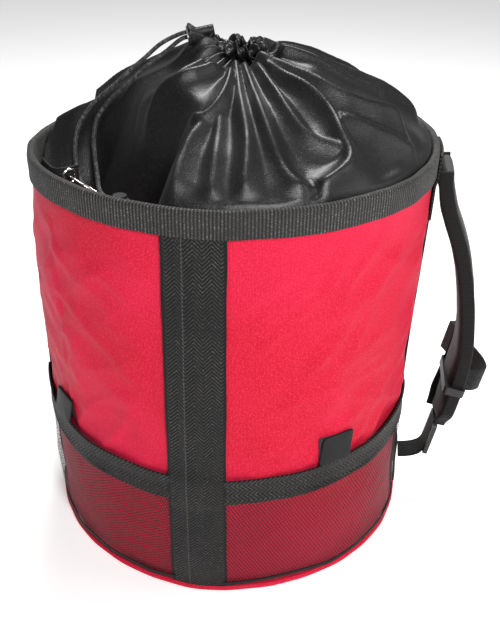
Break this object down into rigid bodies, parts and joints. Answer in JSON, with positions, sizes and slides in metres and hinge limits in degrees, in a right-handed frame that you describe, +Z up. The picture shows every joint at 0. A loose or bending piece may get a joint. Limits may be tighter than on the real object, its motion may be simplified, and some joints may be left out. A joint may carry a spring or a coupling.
{
  "type": "drawstring rope bag",
  "caption": "Round cloth rope bag with webbing rim, gathered drawstring collar, mesh pockets and padded shoulder straps.",
  "frame": {"origin": "centre of the bounding box, on the surface that the bag stands on", "axes": "+Z up; -Y is the front, away from the shoulder straps; +X is to the right seen from the front"},
  "size_m": [0.3749, 0.4106, 0.4699],
  "materials": {
    "red_cloth": "coated woven nylon, soft satin sheen",
    "black_cloth": "thin coated nylon, glossy",
    "webbing": "woven nylon webbing, matte",
    "mesh": "open knitted mesh, matte",
    "tab_cloth": "smooth hook-and-loop backing",
    "pad": "padded strap cloth, matte",
    "foam": "closed-cell foam sheet",
    "cord": "braided polyester cord",
    "plastic": "moulded acetal, satin",
    "metal": "nickel-plated, bright"
  },
  "bodies": {
    "bag": {"body_shell": "red_cloth", "base_panel": "red_cloth", "base_piping": "red_cloth", "base_stiffener": "foam", "collar": "black_cloth", "collar_hem": "black_cloth", "outlet_patch": "black_cloth", "rim_band": "webbing", "tie_in_loop": "webbing", "gear_tab": "webbing", "vertical_strap_front_right": "webbing", "vertical_strap_back_right": "webbing", "vertical_strap_back_left": "webbing", "vertical_strap_front_left": "webbing", "pocket_binding_front": "webbing", "pocket_binding_right": "webbing", "pocket_binding_back": "webbing", "pocket_binding_left": "webbing", "pocket_mesh_front": "mesh", "pocket_mesh_right": "mesh", "pocket_mesh_back": "mesh", "pocket_mesh_left": "mesh", "hook_patch_front": "tab_cloth", "hook_patch_right": "tab_cloth", "hook_patch_back": "tab_cloth", "hook_patch_left": "tab_cloth", "drain_grommet": "metal", "cord_grommet": "metal", "gear_eyelet": "metal", "drawcord": "cord", "shoulder_pad_right": "pad", "shoulder_anchor_right": "webbing", "lower_webbing_right": "webbing", "lower_anchor_right": "webbing", "ladder_lock_right": "plastic", "shoulder_pad_left": "pad", "shoulder_anchor_left": "webbing", "lower_webbing_left": "webbing", "lower_anchor_left": "webbing", "ladder_lock_left": "plastic"},
    "closure_tab_front": {"pocket_tab_front": "tab_cloth"},
    "closure_tab_right": {"pocket_tab_right": "tab_cloth"},
    "closure_tab_back": {"pocket_tab_back": "tab_cloth"},
    "closure_tab_left": {"pocket_tab_left": "tab_cloth"},
    "gear_ring_body": {"gear_ring": "metal"},
    "cord_lock": {"cord_lock_body": "plastic"},
    "cord_lock_button_body": {"cord_lock_button": "plastic", "cord_lock_spring": "metal"},
    "chest_slider_right_body": {"chest_slider_right": "plastic"},
    "chest_strap_right": {"chest_webbing_right": "webbing", "chest_buckle_socket": "plastic"},
    "chest_slider_left_body": {"chest_slider_left": "plastic"},
    "chest_strap_left": {"chest_webbing_left": "webbing", "chest_buckle_prongs": "plastic"}
  },
  "joints": [
    {"name": "tab_peel_front", "type": "hinge", "parent": "bag", "child": "closure_tab_front", "pos_m": [-0.01604, -0.20095, 0.1323], "axis": [0.9962, -0.0872, 0], "range_deg": [0, 120]},
    {"name": "tab_peel_right", "type": "hinge", "parent": "bag", "child": "closure_tab_right", "pos_m": [0.18304, -0.03684, 0.1323], "axis": [0.1045, 0.9945, 0], "range_deg": [0, 120]},
    {"name": "tab_peel_back", "type": "hinge", "parent": "bag", "child": "closure_tab_back", "pos_m": [0, 0.16645, 0.1323], "axis": [-1, 0, 0], "range_deg": [0, 120]},
    {"name": "tab_peel_left", "type": "hinge", "parent": "bag", "child": "closure_tab_left", "pos_m": [-0.18405, -0.0176, 0.1323], "axis": [0, -1, 0], "range_deg": [0, 120]},
    {"name": "gear_ring_swing", "type": "hinge", "parent": "bag", "child": "gear_ring_body", "pos_m": [-0.00276, -0.17558, 0.367], "axis": [0.9998, -0.0175, 0], "range_deg": [-8, 60]},
    {"name": "cord_lock_slide", "type": "slide", "parent": "bag", "child": "cord_lock", "axis": [0.9681, 0.2504, 0], "range_m": [-0.0025, 0.001]},
    {"name": "cord_lock_press", "type": "slide", "parent": "cord_lock", "child": "cord_lock_button_body", "axis": [0, 0, -1], "range_m": [0, 0.0038], "stiffness_N_per_m": 600, "springref_m": -0.002, "deforming": ["cord_lock_spring"]},
    {"name": "chest_slide_right", "type": "slide", "parent": "bag", "child": "chest_slider_right_body", "axis": [0.1385, 0.1434, 0.9799], "range_m": [-0.016, 0.018]},
    {"name": "chest_strap_swing_right", "type": "hinge", "parent": "chest_slider_right_body", "child": "chest_strap_right", "pos_m": [0.15933, 0.1474, 0.13773], "axis": [-0.1385, -0.1434, -0.9799], "range_deg": [-5, 60]},
    {"name": "chest_slide_left", "type": "slide", "parent": "bag", "child": "chest_slider_left_body", "axis": [-0.1385, 0.1434, 0.9799], "range_m": [-0.016, 0.018]},
    {"name": "chest_strap_swing_left", "type": "hinge", "parent": "chest_slider_left_body", "child": "chest_strap_left", "pos_m": [-0.15933, 0.1474, 0.13773], "axis": [-0.1385, 0.1434, 0.9799], "range_deg": [-5, 60]}
  ]
}
